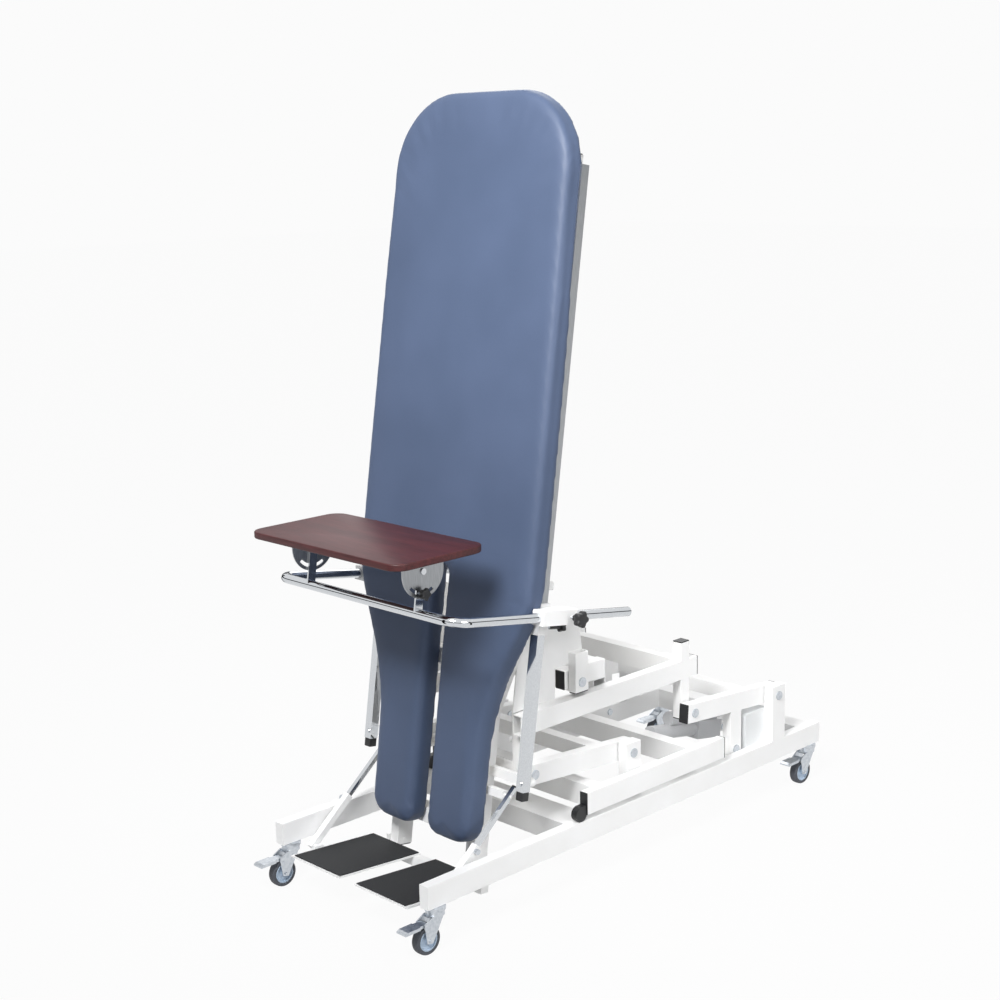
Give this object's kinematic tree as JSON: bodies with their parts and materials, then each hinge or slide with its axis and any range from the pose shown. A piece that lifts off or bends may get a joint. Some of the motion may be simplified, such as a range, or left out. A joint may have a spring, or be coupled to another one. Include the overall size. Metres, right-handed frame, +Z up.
{
  "type": "tilt table",
  "caption": "Wheeled physiotherapy tilt table with push-carriage lift, tilting padded top with leg slot, sliding tray, side rails and footplates.",
  "frame": {"origin": "on the floor, under the middle of the bounding box, on the centre plane", "axes": "+X towards the head end of the base, +Y to the left seen from the footplates looking to the head end, +Z up"},
  "size_m": [1.675, 0.7982, 2.0458],
  "materials": {
    "white_coat": "satin powder coat",
    "black_plastic": "fine grain",
    "bolt_steel": "zinc plated",
    "castor_zinc": "zinc plated",
    "grey_tyre": "smooth",
    "hub_plastic": "semi gloss",
    "drive_grey": "matt",
    "box_white": "matt",
    "chrome": "polished",
    "stainless": "brushed",
    "navy_vinyl": "semi gloss",
    "plywood": "sealed",
    "mahogany": "lacquered",
    "rubber_mat": "matt"
  },
  "bodies": {
    "base": {"base_rails": "white_coat", "base_cross_tubes": "white_coat", "base_posts": "white_coat", "base_bolts": "bolt_steel", "control_box": "box_white", "mains_inlet": "black_plastic"},
    "rear_rocker": {"rear_rocker": "white_coat", "rear_rocker_caps": "black_plastic"},
    "front_rocker": {"front_rocker": "white_coat"},
    "upper_frame": {"upper_rails": "white_coat", "upper_cross_tubes": "white_coat", "upper_posts": "white_coat", "upper_end_caps": "black_plastic", "upper_bolts": "bolt_steel"},
    "carriage": {"carriage_tubes": "white_coat", "carriage_cross_tubes": "white_coat", "carriage_glides": "black_plastic", "carriage_bolts": "bolt_steel"},
    "lift_drive_body": {"lift_drive_body": "drive_grey"},
    "lift_drive_rod": {"lift_drive_rod": "chrome"},
    "tilt_drive_body": {"tilt_drive_body": "drive_grey"},
    "tilt_drive_rod": {"tilt_drive_rod": "chrome"},
    "top_frame": {"top_frame_rails": "white_coat", "top_frame_bars": "white_coat", "top_side_plates": "white_coat", "pad_board": "plywood", "pad": "navy_vinyl", "side_rails": "stainless", "tray_posts": "chrome"},
    "strut_rods": {"strut_rods": "chrome"},
    "tray_holders": {"tray_holders": "white_coat"},
    "tray_frame": {"tray_tube": "chrome", "tray_stands": "white_coat"},
    "tray_top": {"tray_board": "mahogany", "tray_discs": "chrome"},
    "foot_frame": {"foot_frame": "white_coat", "foot_mats": "rubber_mat"},
    "strut_sleeves": {"strut_sleeves": "white_coat"},
    "reach_knob_left": {"reach_knob_left": "black_plastic"},
    "reach_knob_right": {"reach_knob_right": "black_plastic"},
    "height_knob": {"height_knob": "black_plastic"},
    "angle_knob": {"angle_knob": "black_plastic"},
    "foot_knob_left": {"foot_knob_left": "bolt_steel"},
    "foot_knob_right": {"foot_knob_right": "bolt_steel"},
    "fork_front_left": {"fork_front_left": "castor_zinc"},
    "wheel_front_left": {"tyre_front_left": "grey_tyre", "hub_front_left": "hub_plastic"},
    "pedal_front_left": {"pedal_front_left": "castor_zinc"},
    "fork_front_right": {"fork_front_right": "castor_zinc"},
    "wheel_front_right": {"tyre_front_right": "grey_tyre", "hub_front_right": "hub_plastic"},
    "pedal_front_right": {"pedal_front_right": "castor_zinc"},
    "fork_rear_left": {"fork_rear_left": "castor_zinc"},
    "wheel_rear_left": {"tyre_rear_left": "grey_tyre", "hub_rear_left": "hub_plastic"},
    "pedal_rear_left": {"pedal_rear_left": "castor_zinc"},
    "fork_rear_right": {"fork_rear_right": "castor_zinc"},
    "wheel_rear_right": {"tyre_rear_right": "grey_tyre", "hub_rear_right": "hub_plastic"},
    "pedal_rear_right": {"pedal_rear_right": "castor_zinc"}
  },
  "joints": [
    {"name": "lift", "type": "hinge", "parent": "base", "child": "rear_rocker", "pos_m": [0.6315, 0, 0.312], "axis": [0, 1, 0], "range_deg": [0, 30]},
    {"name": "front_arm_swing", "type": "hinge", "parent": "base", "child": "front_rocker", "pos_m": [0.0195, 0, 0.295], "axis": [0, 1, 0], "range_deg": [0, 30]},
    {"name": "upper_frame_level", "type": "hinge", "parent": "rear_rocker", "child": "upper_frame", "pos_m": [0.28552, 0, 0.33862], "axis": [0, 1, 0], "range_deg": [-30, 0]},
    {"name": "carriage_push", "type": "hinge", "parent": "rear_rocker", "child": "carriage", "pos_m": [0.4725, 0, 0.181], "axis": [0, 1, 0], "range_deg": [-36.92, 0]},
    {"name": "lift_drive_swing", "type": "hinge", "parent": "base", "child": "lift_drive_body", "pos_m": [0.7275, 0, 0.125], "axis": [0, 1, 0], "range_deg": [0, 8.11]},
    {"name": "lift_drive_stroke", "type": "slide", "parent": "lift_drive_body", "child": "lift_drive_rod", "axis": [-0.9841, 0, 0.1778], "range_m": [0, 0.0635]},
    {"name": "tilt", "type": "hinge", "parent": "upper_frame", "child": "top_frame", "pos_m": [-0.13848, 0, 0.52462], "axis": [0, 1, 0], "range_deg": [0, 81]},
    {"name": "tilt_drive_swing", "type": "hinge", "parent": "upper_frame", "child": "tilt_drive_body", "pos_m": [-0.32648, 0, 0.32162], "axis": [0, 1, 0], "range_deg": [0, 18.82]},
    {"name": "tilt_drive_stroke", "type": "slide", "parent": "tilt_drive_body", "child": "tilt_drive_rod", "axis": [0.2825, 0, 0.9593], "range_m": [0, 0.123]},
    {"name": "tray_height", "type": "slide", "parent": "top_frame", "child": "tray_holders", "axis": [0.1582, 0, 0.9874], "range_m": [-0.3, 0]},
    {"name": "tray_reach", "type": "slide", "parent": "tray_holders", "child": "tray_frame", "axis": [0.9874, 0, -0.1582], "range_m": [-0.2, 0.09]},
    {"name": "tray_angle", "type": "hinge", "parent": "tray_frame", "child": "tray_top", "pos_m": [-0.6661, 0, 0.92308], "axis": [0, 1, 0], "range_deg": [-35, 35]},
    {"name": "footplate_pitch", "type": "hinge", "parent": "top_frame", "child": "foot_frame", "pos_m": [-0.46168, 0, 0.08116], "axis": [0, 1, 0], "range_deg": [-1.5, 8]},
    {"name": "strut_sleeve_swing", "type": "hinge", "parent": "foot_frame", "child": "strut_sleeves", "pos_m": [-0.67992, 0, 0.09948], "axis": [0, 1, 0], "range_deg": [-4, 0.75]},
    {"name": "strut_rod_swing", "type": "hinge", "parent": "top_frame", "child": "strut_rods", "pos_m": [-0.43575, 0, 0.29862], "axis": [0, 1, 0], "range_deg": [-0.75, 4]},
    {"name": "swivel_front_left", "type": "hinge", "parent": "base", "child": "fork_front_left", "pos_m": [-0.7275, 0.285, 0.116], "axis": [0, 0, 1], "continuous": true},
    {"name": "roll_front_left", "type": "hinge", "parent": "fork_front_left", "child": "wheel_front_left", "pos_m": [-0.7595, 0.285, 0.0375], "axis": [0, 1, 0], "continuous": true},
    {"name": "brake_front_left", "type": "hinge", "parent": "fork_front_left", "child": "pedal_front_left", "pos_m": [-0.7675, 0.285, 0.08], "axis": [0, 1, 0], "range_deg": [-14, 0]},
    {"name": "swivel_front_right", "type": "hinge", "parent": "base", "child": "fork_front_right", "pos_m": [-0.7275, -0.285, 0.116], "axis": [0, 0, 1], "continuous": true},
    {"name": "roll_front_right", "type": "hinge", "parent": "fork_front_right", "child": "wheel_front_right", "pos_m": [-0.7595, -0.285, 0.0375], "axis": [0, 1, 0], "continuous": true},
    {"name": "brake_front_right", "type": "hinge", "parent": "fork_front_right", "child": "pedal_front_right", "pos_m": [-0.7675, -0.285, 0.08], "axis": [0, 1, 0], "range_deg": [-14, 0]},
    {"name": "swivel_rear_left", "type": "hinge", "parent": "base", "child": "fork_rear_left", "pos_m": [0.7945, 0.285, 0.116], "axis": [0, 0, 1], "continuous": true},
    {"name": "roll_rear_left", "type": "hinge", "parent": "fork_rear_left", "child": "wheel_rear_left", "pos_m": [0.7625, 0.285, 0.0375], "axis": [0, 1, 0], "continuous": true},
    {"name": "brake_rear_left", "type": "hinge", "parent": "fork_rear_left", "child": "pedal_rear_left", "pos_m": [0.7545, 0.285, 0.08], "axis": [0, 1, 0], "range_deg": [-14, 0]},
    {"name": "swivel_rear_right", "type": "hinge", "parent": "base", "child": "fork_rear_right", "pos_m": [0.7945, -0.285, 0.116], "axis": [0, 0, 1], "continuous": true},
    {"name": "roll_rear_right", "type": "hinge", "parent": "fork_rear_right", "child": "wheel_rear_right", "pos_m": [0.7625, -0.285, 0.0375], "axis": [0, 1, 0], "continuous": true},
    {"name": "brake_rear_right", "type": "hinge", "parent": "fork_rear_right", "child": "pedal_rear_right", "pos_m": [0.7545, -0.285, 0.08], "axis": [0, 1, 0], "range_deg": [-14, 0]},
    {"name": "reach_knob_turn_left", "type": "hinge", "parent": "tray_holders", "child": "reach_knob_left", "pos_m": [-0.31013, 0.38, 0.76175], "axis": [0, 1, 0], "range_deg": [0, 720]},
    {"name": "reach_knob_turn_right", "type": "hinge", "parent": "tray_holders", "child": "reach_knob_right", "pos_m": [-0.31013, -0.38, 0.76175], "axis": [0, 1, 0], "range_deg": [0, 720]},
    {"name": "height_knob_turn", "type": "hinge", "parent": "tray_holders", "child": "height_knob", "pos_m": [-0.3178, -0.295, 0.72652], "axis": [0.9874, 0, -0.1582], "range_deg": [0, 720]},
    {"name": "angle_knob_turn", "type": "hinge", "parent": "tray_frame", "child": "angle_knob", "pos_m": [-0.67448, -0.22, 0.87075], "axis": [0, 1, 0], "range_deg": [0, 720]},
    {"name": "foot_knob_turn_left", "type": "hinge", "parent": "strut_sleeves", "child": "foot_knob_left", "pos_m": [-0.5638, 0.264, 0.19418], "axis": [0, 1, 0], "range_deg": [0, 720]},
    {"name": "foot_knob_turn_right", "type": "hinge", "parent": "strut_sleeves", "child": "foot_knob_right", "pos_m": [-0.5638, -0.264, 0.19418], "axis": [0, 1, 0], "range_deg": [0, 720]}
  ],
  "couplings": [
    {"joint": "front_arm_swing", "follows": "lift", "ratio": 1},
    {"joint": "upper_frame_level", "follows": "lift", "ratio": -1},
    {"joint": "carriage_push", "follows": "lift", "ratio": -1.2304},
    {"joint": "lift_drive_swing", "follows": "lift", "ratio": 0.2701},
    {"joint": "lift_drive_stroke", "follows": "lift", "m_per_rad": 0.1208},
    {"joint": "tilt_drive_swing", "follows": "tilt", "ratio": 0.23214},
    {"joint": "tilt_drive_stroke", "follows": "tilt", "m_per_rad": 0.086758},
    {"joint": "strut_sleeve_swing", "follows": "footplate_pitch", "ratio": -0.5},
    {"joint": "strut_rod_swing", "follows": "footplate_pitch", "ratio": 0.5}
  ]
}
